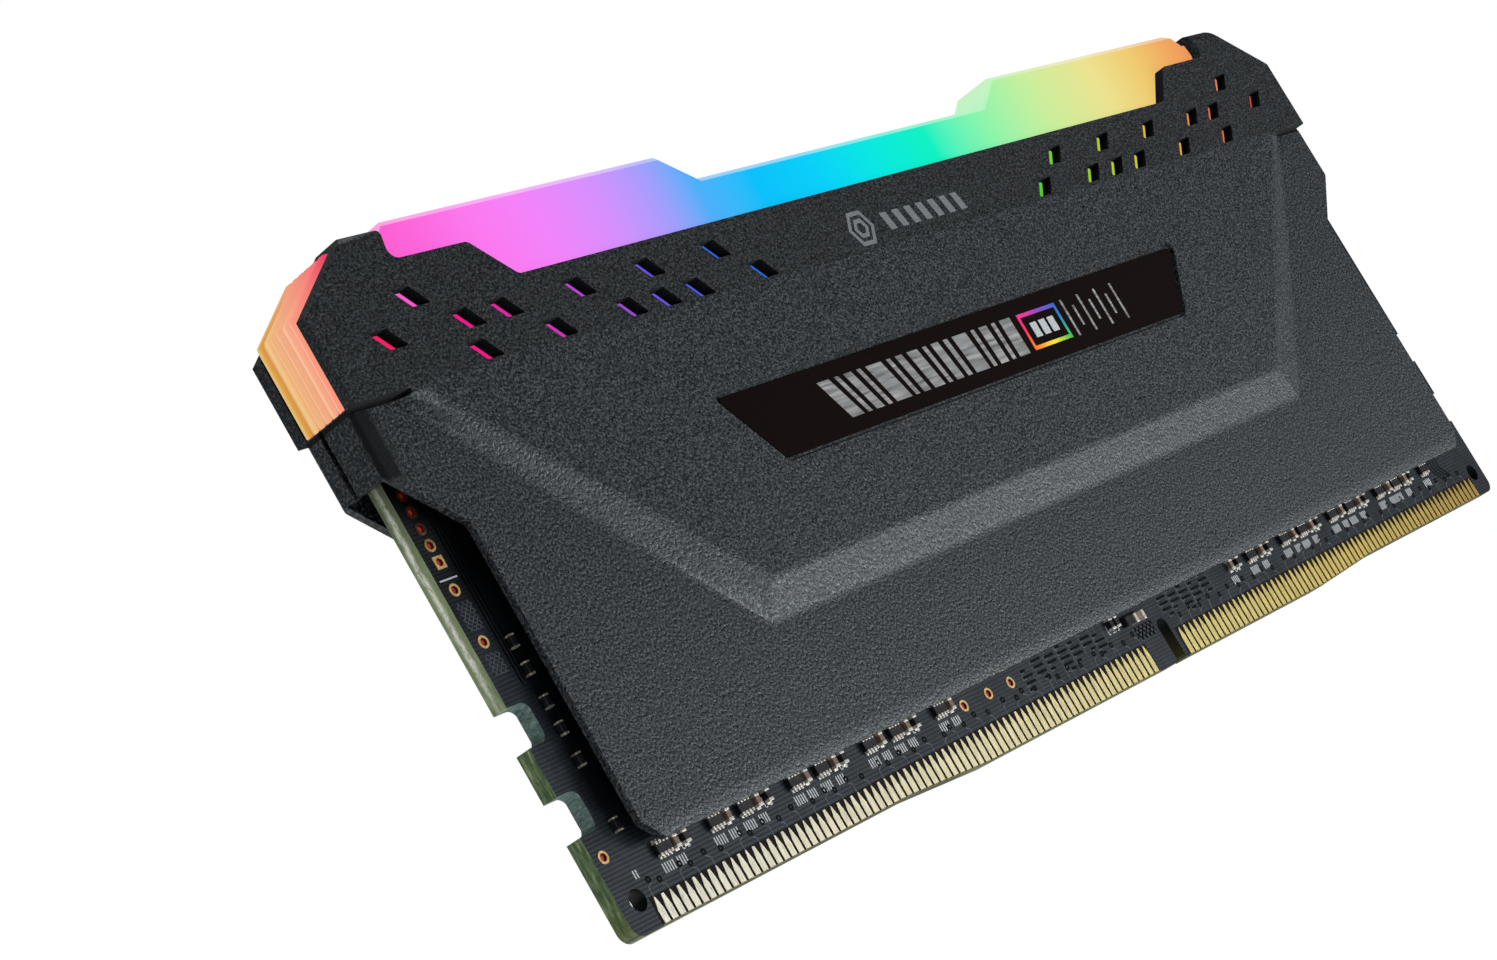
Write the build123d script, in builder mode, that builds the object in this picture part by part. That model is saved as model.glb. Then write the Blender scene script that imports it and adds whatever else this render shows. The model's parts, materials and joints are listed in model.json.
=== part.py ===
"""DDR4 memory module with two finned-edge heat spreaders and a translucent light bar.

Frame: X runs along the module, Z is up from the card edge, Y is the thickness.
The origin is the middle of the module at the deepest point of the card edge.
The front, with the memory chips behind it, faces -Y.
"""

import os

from build123d import *

# ---- driving dimensions, in millimetres -------------------------------------------------

# Printed circuit board (JEDEC DDR4 288-contact outline, taller than the standard card)
PCB_LENGTH = 133.35
PCB_HEIGHT = 43.0
PCB_THICK = 1.4
EDGE_STEP = 0.5                 # the outer contacts' edge is this much higher than the middle
RAMP_STARTS = (32.25, 96.85)    # from the left end: where the edge starts to drop, and to rise
RAMP_LENGTH = 10.2
CORNER_RADIUS = 1.0

NOTCH_DEPTH = 1.95              # latch notches in both ends
NOTCH_HEIGHT = 3.0
NOTCH_RADIUS = 0.75
NOTCH_CENTRES_Z = (9.5, 16.1)
KEY_CENTRE = 72.1               # from the left end
KEY_WIDTH = 1.5
KEY_HEIGHT = 3.75
KEY_RADIUS = 0.6
KEY_FLARE = 0.25
TOOLING_HOLE_RADIUS = 0.8
TOOLING_HOLE_INSET = 1.88
TOOLING_HOLE_Z = 2.75

CONTACT_PITCH = 0.85
CONTACT_WIDTH = 0.6
CONTACT_TOP_Z = 2.45
CONTACT_SHOULDER_Z = 1.6
CONTACT_GAP = 0.12              # bare laminate between a contact and the card's edge
CONTACT_THICK = 0.05
FIRST_CONTACTS = (3.35, 73.9)   # from the left end: contact 1, and the first one past the key
CONTACT_COUNTS = (77, 67)

HEADER_INSET = 1.23             # five-hole programming header at the left end
HEADER_LOW_Z = 28.2
HEADER_PITCH = 1.27
HEADER_HOLES = 5
VIA_RADIUS = 0.3
RING_RADIUS = 0.47
RING_THICK = 0.04
LARGE_VIAS = ((1.0, 6.2), (1.19, 26.12), (1.16, 22.21), (43.26, 4.54), (46.7, 4.54), (49.87, 4.54))

# Memory chips and the other parts on the board's front
CHIP_WIDTH = 7.5
CHIP_HEIGHT = 11.0
CHIP_THICK = 0.95
CHIP_MID_Z = 15.0
CHIP_PITCH = 13.0
CHIP_ROW_STARTS = (12.5, 81.85)  # centre of the first chip of each row of four
CHIPS_PER_ROW = 4

ARRAY_SIZE = (1.5, 1.1, 0.4)    # four-resistor arrays, along X, Z and Y
ARRAY_PLACES = (6.3, 12.1, 15.5, 21.5, 24.75, 30.8, 34.2, 40.15,
                89.05, 95.15, 98.55, 104.35, 107.75, 113.75, 117.05, 123.05)
BYPASS_SIZE = (0.5, 1.0, 0.5)   # bypass capacitors and single resistors beside the arrays
BYPASS_PLACES = (7.55, 8.6, 13.45, 16.9, 18.1, 22.75, 26.25, 27.3, 32.2, 35.6, 36.7, 41.5,
                 65.2, 66.0, 85.3, 86.45, 90.8, 92.0, 96.8, 100.15, 101.2, 106.0,
                 109.5, 110.65, 115.55, 118.9, 119.9)
ROW_MID_Z = 5.1                 # the row that shows below the heat spreader
KEY_PARTS = (((1.5, 0.8, 0.6), (69.1, 4.65)),   # larger capacitor and resistor beside the key
             ((1.1, 0.8, 0.5), (67.7, 4.7)))
EDGE_PART_SIZE = (0.5, 1.0, 0.5)
EDGE_PART_INSET = 3.35
EDGE_PART_PLACES_Z = (7.75, 12.6, 14.95, 16.95, 19.45, 21.5)

SENSOR_SIZE = (3.0, 2.0, 0.75)
SENSOR_PLACE = (66.7, 14.0)
CONTROLLER_SIZE = (4.0, 4.0, 0.85)
CONTROLLER_PLACE = (66.7, 33.0)
LED_SIZE = (2.0, 1.4, 0.6)
LED_COUNT = 10
LED_PITCH = 13.2
LED_MID_Z = 42.1

# Heat spreaders: two pressed and machined aluminium shells
SHELL_HALF_Y = 3.2              # outer face of the raised panel and of the upper wall
PANEL_RISE = 0.7                # the raised panel stands this far out of the lower wall
LOWER_WALL = 0.6
UPPER_WALL = 1.0
SHELL_HALF_X = 67.8
SHELL_TOP_Z = 51.0
SHELL_BOTTOM_Z = 5.45
TOP_CORNER_X = 60.7
SHOULDER_Z = 46.1               # where the sloping top corner meets the upright end
BACK_CORNER_DROP = 0.4          # the back shell's top corners are cut this much lower
STEP_Z = 39.1                   # the upper wall ends in a groove above the lower wall
STEP_GROOVE = 0.3
STEP_GROOVE_SKIN = 0.1          # metal left behind the groove
STEP_GROOVE_X = 62.3            # the groove runs from here out to the end
WAIST_TOP_Z = 34.4
WAIST_Z = 29.6
WAIST_X = 62.8
FOOT_Z = 7.0
FOOT_X = 61.3
BEND_RADIUS = 0.4
FLANGE_THICK = 0.8
FRONT_FLANGE_END_Y = 0.55       # the two shells' end flanges meet at a gap behind the middle
BACK_FLANGE_END_Y = 0.95
STRAP_THICK = 0.6
STRAP_GAP = 0.4
STRAP_ROUNDING = 0.8            # the front of each strap bends over into the top

PANEL_FOOT = ((63.3, STEP_Z), (40.7, 15.5))     # foot of the slope round the raised panel
PANEL_CREST = ((61.4, STEP_Z), (38.8, 18.5))
PANEL_EASE = 2.0                # the slope round the panel runs softly into both faces
WINDOW = ((46.4, 45.15), (49.65, 48.4), (57.65, 48.45), (56.8, SHELL_TOP_Z + 1.0))
WINDOW_RADIUS = 0.8
LABEL_RECESS = ((34.5, 32.45), (30.0, 25.85))
LABEL_DEPTH = 0.35
LABEL_MARGIN = 0.35
LABEL_THICK = 0.15

SLOT_PITCH = (4.1, 2.5)         # slanted vent slots, on a grid from each end
SLOT_FIRST = (4.87, 40.55)
SLOT_SIZE = (1.9, 1.55)
SLOT_SLANT = 1.3                # how far a slot's foot leans towards the middle of the module
SLOT_RADIUS = 0.12
SLOT_CELLS = ((0, 1), (1, 2), (2, 0), (2, 1), (3, 1), (4, 0), (5, 1),
              (6, 0), (7, 0), (7, 1), (8, 0), (9, 1), (10, 0))

# Light bar: one translucent moulding that also closes both ends
BAR_HALF_Y = 2.2
BAR_TOP_Z = 51.8
BAR_WAIST_Z = 49.35
BAR_SLOPE_X = (20.4, 23.9)
BAR_SHOULDER_X = (55.2, 56.8)
BAR_FOOT_Z = 39.55
BAR_END_INSET = 0.1
BAR_CORNER_RISE = 0.45          # above the shells' top corners, so its slope stands proud of them
BAR_CHAMFER = 0.45
RIB_COUNT = 6
RIB_DEPTH = 0.28
BOARD_CLEARANCE = 0.05
LED_POCKET_Y = -1.4

PAD_SPAN_Z = (8.0, 27.0)
PAD_HALF_X = 59.0

# ---- values worked out from them ---------------------------------------------------------

BOARD_FRONT_Y = -PCB_THICK / 2
BOARD_BACK_Y = PCB_THICK / 2
LOWER_FACE_Y = SHELL_HALF_Y - PANEL_RISE
LOWER_INNER_Y = LOWER_FACE_Y - LOWER_WALL
UPPER_INNER_Y = SHELL_HALF_Y - UPPER_WALL
STRAP_FOOT_Z = SHELL_TOP_Z - STRAP_THICK
ENOUGH = 10.0                   # a cut that goes right through


def from_left(distance):
    """X of a point at this distance from the board's left end."""
    return distance - PCB_LENGTH / 2


def at_depth(y):
    """A drawing plane that faces the front, X to the right and Z up, at this Y."""
    return Plane.XZ.offset(-y)


def both_sides(right_half):
    """A closed outline from its right half, listed from the middle outwards and round."""
    return list(right_half) + [(-x, z) for x, z in reversed(right_half)]


def face_of(points):
    """Fill a closed outline of straight runs in the sketch that is open."""
    Polygon(*points, align=None)


def save(part, name):
    """Label a finished piece and write its STEP file."""
    part.label = name
    export_step(part, f"parts/{name}.step")


def edge_z(distance):
    """Height of the card's lower edge at this distance from the left end."""
    drop_start, rise_start = RAMP_STARTS
    fallen = min(max((distance - drop_start) / RAMP_LENGTH, 0.0), 1.0)
    risen = min(max((distance - rise_start) / RAMP_LENGTH, 0.0), 1.0)
    return EDGE_STEP * (1.0 - fallen + risen)


os.makedirs("parts", exist_ok=True)

# ---- printed circuit board ---------------------------------------------------------------

header_holes = [
    (from_left(HEADER_INSET), HEADER_LOW_Z + HEADER_PITCH * i) for i in range(HEADER_HOLES)
]
large_vias = [(from_left(x), z) for x, z in LARGE_VIAS]

with BuildPart() as pcb:
    with BuildSketch(at_depth(BOARD_BACK_Y)) as board_outline:
        drop_start, rise_start = RAMP_STARTS
        face_of([
            (from_left(0), EDGE_STEP),
            (from_left(drop_start), EDGE_STEP),
            (from_left(drop_start + RAMP_LENGTH), 0),
            (from_left(rise_start), 0),
            (from_left(rise_start + RAMP_LENGTH), EDGE_STEP),
            (from_left(PCB_LENGTH), EDGE_STEP),
            (from_left(PCB_LENGTH), PCB_HEIGHT),
            (from_left(0), PCB_HEIGHT),
        ])
        lower_corners = board_outline.vertices().sort_by(Axis.X)
        lower_corners = [v for v in (*lower_corners[:2], *lower_corners[-2:]) if v.Y < 1]
        fillet(lower_corners, CORNER_RADIUS)
        with Locations(*[(x, z) for x in (from_left(0), from_left(PCB_LENGTH))
                         for z in NOTCH_CENTRES_Z]):
            RectangleRounded(2 * NOTCH_DEPTH, NOTCH_HEIGHT, NOTCH_RADIUS, mode=Mode.SUBTRACT)
        with Locations((from_left(KEY_CENTRE), 0)):
            RectangleRounded(KEY_WIDTH, 2 * KEY_HEIGHT, KEY_RADIUS, mode=Mode.SUBTRACT)
            Trapezoid(KEY_WIDTH + 4 * KEY_FLARE, 4 * KEY_FLARE, 60, mode=Mode.SUBTRACT)
        with Locations(*[(side * from_left(TOOLING_HOLE_INSET), TOOLING_HOLE_Z)
                         for side in (-1, 1)]):
            Circle(TOOLING_HOLE_RADIUS, mode=Mode.SUBTRACT)
        with Locations(*header_holes, *large_vias):
            Circle(VIA_RADIUS, mode=Mode.SUBTRACT)
    extrude(amount=PCB_THICK)
save(pcb.part, "pcb")

# ---- gold contacts, one group on each face -----------------------------------------------


def contact_outline(distance, blunt):
    """A contact: straight at the foot, drawn in to a narrow tip where its trace starts."""
    half = CONTACT_WIDTH / 2
    tip = 0.13 if blunt else 0.05
    foot = edge_z(distance) + CONTACT_GAP
    x = from_left(distance)
    return [
        (x - half, foot),
        (x + half, foot),
        (x + half, CONTACT_SHOULDER_Z),
        (x + tip, CONTACT_TOP_Z),
        (x - tip, CONTACT_TOP_Z),
        (x - half, CONTACT_SHOULDER_Z),
    ]


for side_name, foot_y in (("front", BOARD_FRONT_Y), ("back", BOARD_BACK_Y + CONTACT_THICK)):
    with BuildPart() as contacts:
        with BuildSketch(at_depth(foot_y)):
            for first, count in zip(FIRST_CONTACTS, CONTACT_COUNTS):
                for i in range(count):
                    face_of(contact_outline(first + i * CONTACT_PITCH, i % 2 == 1))
        extrude(amount=CONTACT_THICK)
    save(contacts.part, f"contacts_{side_name}")

# ---- copper rings round the header holes and the large vias ------------------------------

with BuildPart() as copper_rings:
    with BuildSketch(at_depth(BOARD_FRONT_Y)):
        with Locations(header_holes[0]):
            Rectangle(2 * RING_RADIUS, 2 * RING_RADIUS)
        with Locations(*header_holes[1:], *large_vias):
            Circle(RING_RADIUS)
        with Locations(*header_holes, *large_vias):
            Circle(VIA_RADIUS, mode=Mode.SUBTRACT)
    extrude(amount=RING_THICK)
save(copper_rings.part, "copper_rings")

# ---- parts soldered to the board's front -------------------------------------------------


def footprints(size, places):
    """Outlines on the board's front of blocks of one size at these (X, Z) places."""
    with BuildSketch(at_depth(BOARD_FRONT_Y)) as outlines:
        with Locations(*places):
            Rectangle(size[0], size[1])
    return outlines.sketch


chip_places = [
    (from_left(start + i * CHIP_PITCH), CHIP_MID_Z)
    for start in CHIP_ROW_STARTS for i in range(CHIPS_PER_ROW)
]
for number, place in enumerate(chip_places, start=1):
    with BuildPart() as dram_chip:
        extrude(footprints((CHIP_WIDTH, CHIP_HEIGHT), [place]), amount=CHIP_THICK)
        chamfer(dram_chip.edges().filter_by(Axis.Y), 0.15)
    save(dram_chip.part, f"dram_chip_{number}")

with BuildPart() as spd_sensor:
    sensor_place = (from_left(SENSOR_PLACE[0]), SENSOR_PLACE[1])
    extrude(footprints(SENSOR_SIZE, [sensor_place]), amount=SENSOR_SIZE[2])
save(spd_sensor.part, "spd_sensor")

with BuildPart() as led_controller:
    controller_place = (from_left(CONTROLLER_PLACE[0]), CONTROLLER_PLACE[1])
    extrude(footprints(CONTROLLER_SIZE, [controller_place]), amount=CONTROLLER_SIZE[2])
    chamfer(led_controller.edges().filter_by(Axis.Y), 0.12)
save(led_controller.part, "led_controller")

for i in range(LED_COUNT):
    led_place = (LED_PITCH * (i - (LED_COUNT - 1) / 2), LED_MID_Z)
    with BuildPart() as led:
        extrude(footprints(LED_SIZE, [led_place]), amount=LED_SIZE[2])
        chamfer(led.faces().sort_by(Axis.Y)[0].edges(), 0.1)
    save(led.part, f"led_{i + 1}")

with BuildPart() as resistor_arrays:
    array_places = [(from_left(x), ROW_MID_Z) for x in ARRAY_PLACES]
    extrude(footprints(ARRAY_SIZE, array_places), amount=ARRAY_SIZE[2])
save(resistor_arrays.part, "resistor_arrays")

with BuildPart() as bypass_parts:
    bypass_places = [(from_left(x), ROW_MID_Z) for x in BYPASS_PLACES]
    extrude(footprints(BYPASS_SIZE, bypass_places), amount=BYPASS_SIZE[2])
    for size, (distance, mid_z) in KEY_PARTS:
        extrude(footprints(size, [(from_left(distance), mid_z)]), amount=size[2])
save(bypass_parts.part, "bypass_parts")

with BuildPart() as edge_parts:
    edge_places = [(side * from_left(EDGE_PART_INSET), z)
                   for side in (-1, 1) for z in EDGE_PART_PLACES_Z]
    extrude(footprints(EDGE_PART_SIZE, edge_places), amount=EDGE_PART_SIZE[2])
save(edge_parts.part, "edge_parts")

# ---- thermal pads between the board and the two shells -----------------------------------

with BuildPart() as thermal_pad_front:
    with BuildSketch(at_depth(BOARD_FRONT_Y - CHIP_THICK)):
        face_of(both_sides([(PAD_HALF_X, PAD_SPAN_Z[0]), (PAD_HALF_X, PAD_SPAN_Z[1])]))
    extrude(amount=LOWER_INNER_Y + BOARD_FRONT_Y - CHIP_THICK)
save(thermal_pad_front.part, "thermal_pad_front")

with BuildPart() as thermal_pad_back:
    with BuildSketch(at_depth(LOWER_INNER_Y)):
        face_of(both_sides([(PAD_HALF_X, PAD_SPAN_Z[0]), (PAD_HALF_X, PAD_SPAN_Z[1])]))
    extrude(amount=LOWER_INNER_Y - BOARD_BACK_Y)
save(thermal_pad_back.part, "thermal_pad_back")

# ---- heat spreaders ----------------------------------------------------------------------


def slot_outline(cell, side):
    """A vent slot: a parallelogram whose foot leans towards the middle of the module."""
    column, row = cell
    x = SLOT_FIRST[0] + column * SLOT_PITCH[0]
    z = SLOT_FIRST[1] + row * SLOT_PITCH[1]
    lean = SLOT_SLANT / 2
    half_width, half_height = SLOT_SIZE[0] / 2, SLOT_SIZE[1] / 2
    corners = [
        (x - half_width - lean, z + half_height),
        (x + half_width - lean, z + half_height),
        (x + half_width + lean, z - half_height),
        (x - half_width + lean, z - half_height),
    ]
    return [(side * -from_left(distance), height) for distance, height in corners]


# Each shell is made facing the front; the back one is then mirrored into its place.
for side_name, flange_end_y in (("front", FRONT_FLANGE_END_Y), ("back", -BACK_FLANGE_END_Y)):
    with BuildPart() as heat_spreader:
        # upper wall, with the window that the light bar shows through
        corner_drop = BACK_CORNER_DROP if side_name == "back" else 0.0
        corner_slope = (SHELL_HALF_X - TOP_CORNER_X) / (SHELL_TOP_Z - SHOULDER_Z)
        top_corner_x = TOP_CORNER_X - corner_slope * corner_drop
        with BuildSketch(at_depth(-UPPER_INNER_Y)):
            face_of(both_sides([
                (top_corner_x, SHELL_TOP_Z),
                (SHELL_HALF_X, SHOULDER_Z - corner_drop),
                (SHELL_HALF_X, STEP_Z),
            ]))
        extrude(amount=UPPER_WALL)
        # lower wall, narrower below its waist
        with BuildSketch(at_depth(-LOWER_INNER_Y)):
            face_of(both_sides([
                (SHELL_HALF_X, STEP_Z),
                (SHELL_HALF_X, WAIST_TOP_Z),
                (WAIST_X, WAIST_Z),
                (WAIST_X, FOOT_Z),
                (FOOT_X, SHELL_BOTTOM_Z),
            ]))
        extrude(amount=LOWER_WALL)
        # end flanges, bent round the ends of the board
        with BuildSketch(Plane.XY.offset(WAIST_TOP_Z)) as flange_section:
            depth = LOWER_FACE_Y + flange_end_y
            with Locations((SHELL_HALF_X - FLANGE_THICK / 2, flange_end_y - depth / 2),
                           (-SHELL_HALF_X + FLANGE_THICK / 2, flange_end_y - depth / 2)):
                Rectangle(FLANGE_THICK, depth)
        extrude(amount=STEP_Z - WAIST_TOP_Z)
        with BuildSketch(Plane.XY.offset(WAIST_TOP_Z - BEND_RADIUS)):
            for side in (-1, 1):
                with Locations((side * (SHELL_HALF_X - BEND_RADIUS / 2),
                                BEND_RADIUS / 2 - LOWER_FACE_Y)):
                    Rectangle(BEND_RADIUS, BEND_RADIUS)
                with Locations((side * (SHELL_HALF_X - BEND_RADIUS), BEND_RADIUS - LOWER_FACE_Y)):
                    Circle(BEND_RADIUS, mode=Mode.SUBTRACT)
        extrude(amount=STEP_Z - WAIST_TOP_Z + BEND_RADIUS, mode=Mode.SUBTRACT)
        with BuildSketch(Plane.XY.offset(STEP_Z)):
            depth = UPPER_INNER_Y + flange_end_y
            with Locations((SHELL_HALF_X - FLANGE_THICK / 2, flange_end_y - depth / 2),
                           (-SHELL_HALF_X + FLANGE_THICK / 2, flange_end_y - depth / 2)):
                Rectangle(FLANGE_THICK, depth)
        extrude(amount=BAR_FOOT_Z - BOARD_CLEARANCE - STEP_Z)
        # straps that join the two shells over the ends of the light bar
        with BuildSketch(at_depth(-STRAP_GAP / 2)):
            strap_foot_x = top_corner_x + corner_slope * STRAP_THICK
            for side in (-1, 1):
                face_of([(side * x, z) for x, z in (
                    (WINDOW[-1][0] + 0.2, SHELL_TOP_Z),
                    (top_corner_x, SHELL_TOP_Z),
                    (strap_foot_x, STRAP_FOOT_Z),
                    (WINDOW[-1][0] + 0.4, STRAP_FOOT_Z))])
        extrude(amount=SHELL_HALF_Y - STRAP_GAP / 2)
        # raised panel: its foot is on the lower wall, its crest level with the upper wall
        with BuildSketch(at_depth(-LOWER_FACE_Y)):
            face_of(both_sides(PANEL_FOOT))
        with BuildSketch(at_depth(-SHELL_HALF_Y)):
            face_of(both_sides(PANEL_CREST))
        loft()
        # soft run of the slope into the crest and into the foot
        slope_middles = []
        for ((top_x, top_z), (low_x, low_z)), y in (
                (PANEL_CREST, -SHELL_HALF_Y), (PANEL_FOOT, -LOWER_FACE_Y)):
            slope_middles.append(Vector(0, y, low_z))
            for side in (-1, 1):
                slope_middles.append(Vector(side * (top_x + low_x) / 2, y, (top_z + low_z) / 2))
        slope_edges = heat_spreader.edges().filter_by(
            lambda e: any((e.center() - middle).length < 0.05 for middle in slope_middles))
        fillet(slope_edges, PANEL_EASE)
        # window for the light bar
        with BuildSketch(at_depth(0)) as window:
            face_of(both_sides(WINDOW))
            fillet([v for v in window.vertices() if v.Y < SHELL_TOP_Z], WINDOW_RADIUS)
        extrude(amount=ENOUGH, mode=Mode.SUBTRACT)
        # groove under the upper wall at both ends
        with BuildSketch(at_depth(-(UPPER_INNER_Y + STEP_GROOVE_SKIN))):
            groove_length = SHELL_HALF_X + 1 - STEP_GROOVE_X
            with Locations(*[(side * (STEP_GROOVE_X + groove_length / 2), STEP_Z + STEP_GROOVE / 2)
                             for side in (-1, 1)]):
                Rectangle(groove_length, STEP_GROOVE)
        extrude(amount=ENOUGH, mode=Mode.SUBTRACT)
        # vent slots
        with BuildSketch(at_depth(0)) as slots:
            for side in (-1, 1):
                for cell in SLOT_CELLS:
                    face_of(slot_outline(cell, side))
            fillet(slots.vertices(), SLOT_RADIUS)
        extrude(amount=ENOUGH, mode=Mode.SUBTRACT)
        # recess for the name plate
        with BuildSketch(at_depth(-(SHELL_HALF_Y - LABEL_DEPTH))) as recess:
            face_of(both_sides(LABEL_RECESS))
            fillet(recess.vertices(), 0.5)
        extrude(amount=ENOUGH, mode=Mode.SUBTRACT)
        # rounded bend at the front of each strap
        strap_edges = heat_spreader.edges().filter_by(
            lambda e: abs(e.center().Y + SHELL_HALF_Y) < 0.01
            and abs(e.center().Z - SHELL_TOP_Z) < 0.01)
        fillet(strap_edges, STRAP_ROUNDING)
        if side_name == "back":
            mirror(about=Plane.XZ, mode=Mode.REPLACE)
    save(heat_spreader.part, f"heat_spreader_{side_name}")

# ---- plates in the two recesses ----------------------------------------------------------


for plate_name in ("name_plate", "rating_label"):
    with BuildPart() as plate:
        with BuildSketch(at_depth(-(SHELL_HALF_Y - LABEL_DEPTH))) as plate_outline:
            face_of(both_sides(LABEL_RECESS))
            offset(amount=-LABEL_MARGIN, kind=Kind.INTERSECTION, mode=Mode.REPLACE)
            fillet(plate_outline.vertices(), 0.3)
        extrude(amount=LABEL_THICK)
        if plate_name == "rating_label":
            mirror(about=Plane.XZ, mode=Mode.REPLACE)
    save(plate.part, plate_name)

# ---- light bar ---------------------------------------------------------------------------

end_x = SHELL_HALF_X - BAR_END_INSET
slope_run = (SHELL_HALF_X - TOP_CORNER_X) / (SHELL_TOP_Z - SHOULDER_Z)
bar_elbow = (end_x, SHOULDER_Z + BAR_CORNER_RISE)
bar_tip_z = STRAP_FOOT_Z - 0.05
bar_tip = (end_x - slope_run * (bar_tip_z - bar_elbow[1]), bar_tip_z)
bar_foot = (end_x, BAR_FOOT_Z)

with BuildPart() as light_bar:
    with BuildSketch(at_depth(BAR_HALF_Y)):
        face_of(both_sides([
            (BAR_SLOPE_X[0], BAR_WAIST_Z),
            (BAR_SLOPE_X[1], BAR_TOP_Z),
            (BAR_SHOULDER_X[0], BAR_TOP_Z),
            (BAR_SHOULDER_X[1], bar_tip[1]),
            bar_tip,
            bar_elbow,
            bar_foot,
        ]))
    extrude(amount=2 * BAR_HALF_Y)
    top_edges = light_bar.edges().filter_by(
        lambda e: abs(e.center().X) < BAR_SHOULDER_X[0] + 0.1 and e.center().Z > BAR_WAIST_Z - 0.1
        and abs(abs(e.center().Y) - BAR_HALF_Y) < 0.01)
    chamfer(top_edges, BAR_CHAMFER)
    # room for the board and, in front of it, for the lights
    with BuildSketch(Plane.XY.offset(BAR_FOOT_Z - 1)):
        pocket_front, pocket_back = LED_POCKET_Y, BOARD_BACK_Y + BOARD_CLEARANCE
        with Locations((0, (pocket_front + pocket_back) / 2)):
            Rectangle(PCB_LENGTH + 2 * BOARD_CLEARANCE, pocket_back - pocket_front)
    extrude(amount=PCB_HEIGHT + 2 * BOARD_CLEARANCE - BAR_FOOT_Z + 1, mode=Mode.SUBTRACT)
    # grooves between the ribs that show at both ends
    rib_pitch = 2 * BAR_HALF_Y / RIB_COUNT
    for side in (-1, 1):
        for i in range(1, RIB_COUNT):
            groove_y = -BAR_HALF_Y + i * rib_pitch
            with BuildLine() as groove_path:
                Polyline(*[(side * x, groove_y, z) for x, z in (
                    (bar_foot[0], bar_foot[1] - 1), bar_elbow,
                    (bar_tip[0] - slope_run, bar_tip[1] + 1))])
            with BuildSketch(Plane((side * end_x, groove_y, BAR_FOOT_Z - 1),
                                   x_dir=(side, 0, 0), z_dir=(0, 0, 1))):
                face_of([(0.1, -0.2), (0.1, 0.2), (-RIB_DEPTH, 0)])
            sweep(path=groove_path.wires()[0], transition=Transition.RIGHT, mode=Mode.SUBTRACT)
save(light_bar.part, "light_bar")
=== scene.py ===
"""Looks of the memory module: surface finishes, board detail, light and view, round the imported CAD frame.

Lengths are in millimetres in the row frame until a mesh is made. X runs along the module, Z is up from
the card edge and -Y is the front. "From left" means from the board's left end.
"""

import json
import math
import random

import bmesh
import bpy
from mathutils import Matrix, Vector


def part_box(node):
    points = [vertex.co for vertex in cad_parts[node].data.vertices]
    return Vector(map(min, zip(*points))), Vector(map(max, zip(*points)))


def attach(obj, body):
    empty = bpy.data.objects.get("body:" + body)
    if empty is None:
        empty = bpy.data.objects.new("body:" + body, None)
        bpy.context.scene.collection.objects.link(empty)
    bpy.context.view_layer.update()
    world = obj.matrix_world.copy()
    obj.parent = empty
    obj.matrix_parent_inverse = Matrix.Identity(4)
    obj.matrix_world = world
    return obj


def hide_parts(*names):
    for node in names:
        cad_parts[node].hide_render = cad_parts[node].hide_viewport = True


MM = 0.001
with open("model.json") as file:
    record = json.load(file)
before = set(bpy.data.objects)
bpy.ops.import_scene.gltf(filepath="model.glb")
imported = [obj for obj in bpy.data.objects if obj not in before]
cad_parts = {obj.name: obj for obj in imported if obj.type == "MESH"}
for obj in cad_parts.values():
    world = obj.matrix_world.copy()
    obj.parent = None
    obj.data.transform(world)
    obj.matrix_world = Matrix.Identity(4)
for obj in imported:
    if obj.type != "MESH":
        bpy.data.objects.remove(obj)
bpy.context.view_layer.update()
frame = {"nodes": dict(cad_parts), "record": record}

# ---- sizes taken from the CAD nodes ------------------------------------------------------


def node_box(name):
    """Lowest and highest corner of a CAD node, in millimetres."""
    low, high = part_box(name)
    return Vector(low) / MM, Vector(high) / MM


board_low, board_high = node_box("pcb")
bar_low, bar_high = node_box("light_bar")
shell_low = node_box("heat_spreader_front")[0]
plate_low = node_box("name_plate")[0]
BOARD_FRONT = board_low.y
BOARD_BACK = board_high.y
BOARD_LEFT = board_low.x
PLATE_FRONT = plate_low.y
PLATE_BACK = -plate_low.y
SHELL_FRONT = shell_low.y


def from_left(distance):
    """X of a point at this distance from the board's left end."""
    return BOARD_LEFT + distance


def solids_of(name):
    """Lowest and highest corner of each separate solid of a CAD node, in millimetres, from left to right."""
    work = bmesh.new()
    work.from_mesh(frame["nodes"][name].data)
    bmesh.ops.remove_doubles(work, verts=work.verts, dist=0.001 * MM)
    waiting = set(work.verts)
    boxes = []
    while waiting:
        queue = [waiting.pop()]
        low, high = queue[0].co.copy(), queue[0].co.copy()
        while queue:
            vertex = queue.pop()
            low = Vector(map(min, low, vertex.co))
            high = Vector(map(max, high, vertex.co))
            for edge in vertex.link_edges:
                other = edge.other_vert(vertex)
                if other in waiting:
                    waiting.remove(other)
                    queue.append(other)
        boxes.append((low / MM, high / MM))
    work.free()
    return sorted(boxes, key=lambda box: (round(box[0].x, 3), box[0].z))


# ---- material graphs ---------------------------------------------------------------------


def srgb(red, green, blue):
    """Linear colour from the usual 0 to 255 screen values."""
    def linear(value):
        value /= 255
        return value / 12.92 if value <= 0.04045 else ((value + 0.055) / 1.055) ** 2.4
    return (linear(red), linear(green), linear(blue), 1.0)


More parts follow.
